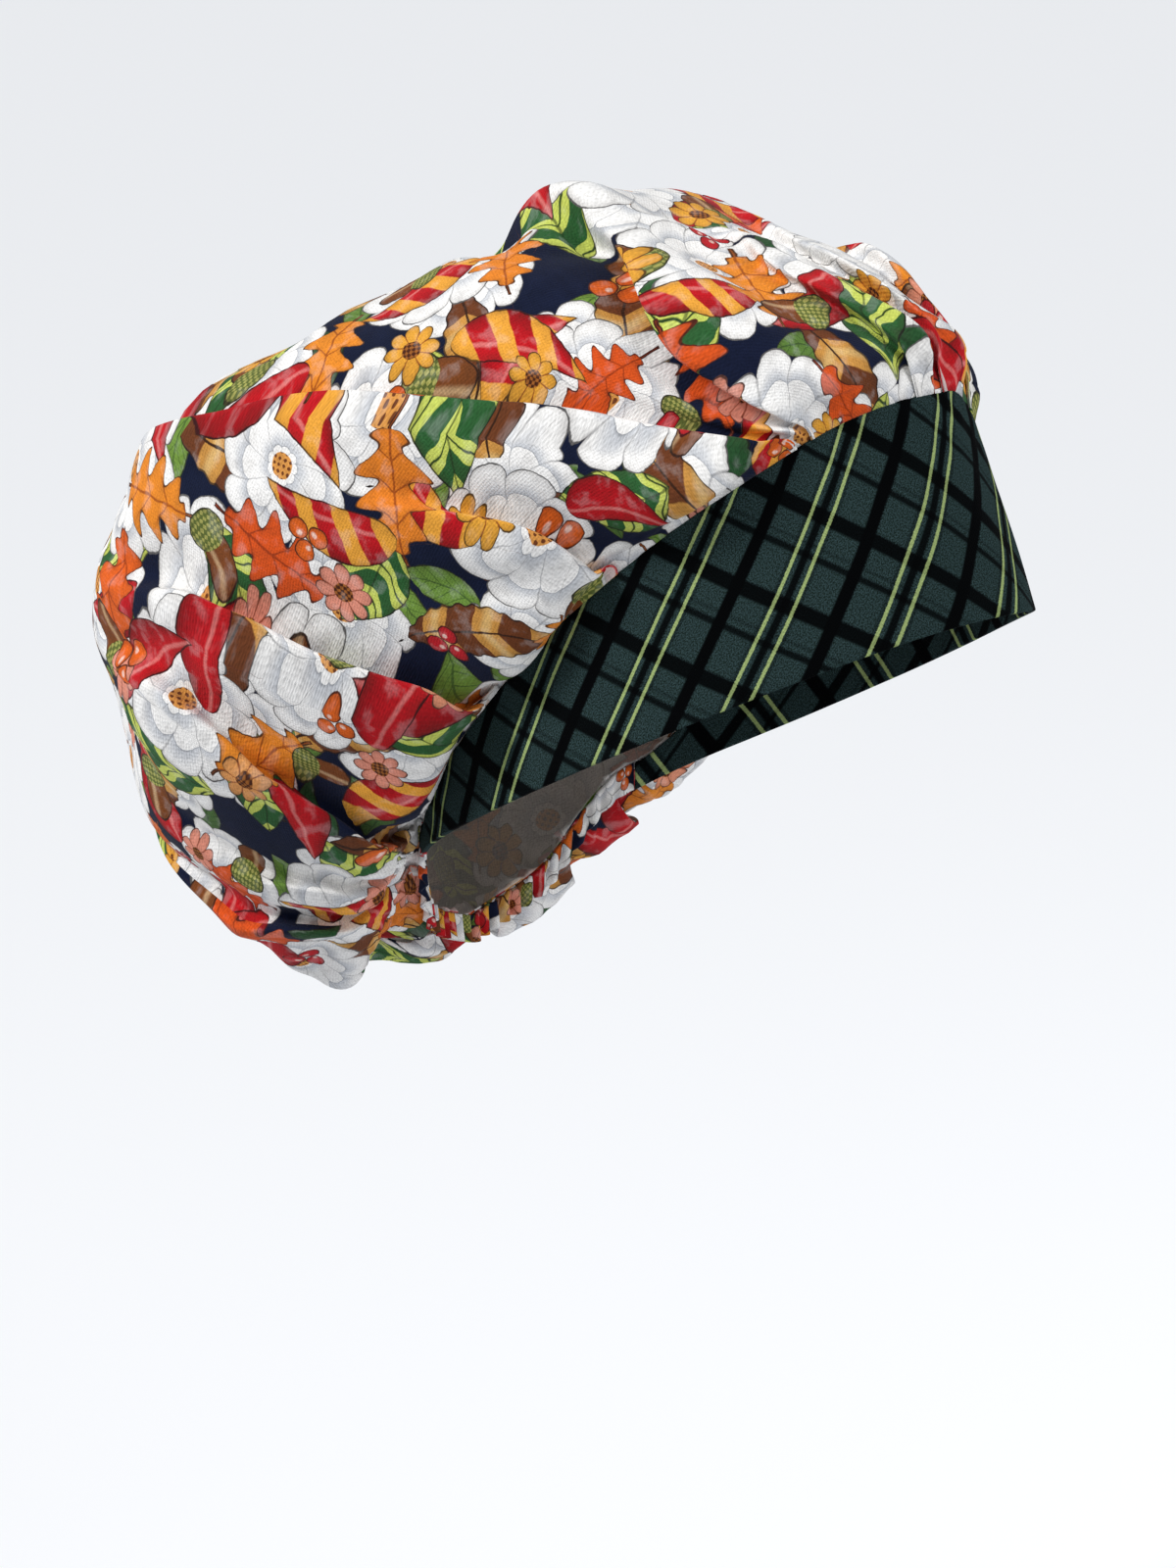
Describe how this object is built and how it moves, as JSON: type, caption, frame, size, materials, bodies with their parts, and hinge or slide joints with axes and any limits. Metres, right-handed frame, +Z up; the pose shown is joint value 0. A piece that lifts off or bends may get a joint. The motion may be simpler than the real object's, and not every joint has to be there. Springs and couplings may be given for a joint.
{
  "type": "scrub cap",
  "caption": "Bouffant cloth cap: roomy gathered cotton bag on a wide tapering forehead band, with a gathered hem round the nape.",
  "frame": {"origin": "inside the opening on the head's axis, level with the lower edge of the band at the brow", "axes": "+X to the wearer's left, +Y towards the back of the head, +Z up; the cap faces -Y"},
  "size_m": [0.2607, 0.2916, 0.2682],
  "materials": {
    "band_cotton": "matt dark green tartan cotton, cut on the bias",
    "crown_cotton": "matt plain-weave cotton with a dense multicoloured print of autumn leaves and blooms on navy",
    "hem_cotton": "the crown's printed cotton, drawn up on a narrow gathered hem"
  },
  "bodies": {
    "root": {"forehead_band": "band_cotton", "bouffant_crown": "crown_cotton", "nape_hem": "hem_cotton"}
  },
  "joints": []
}
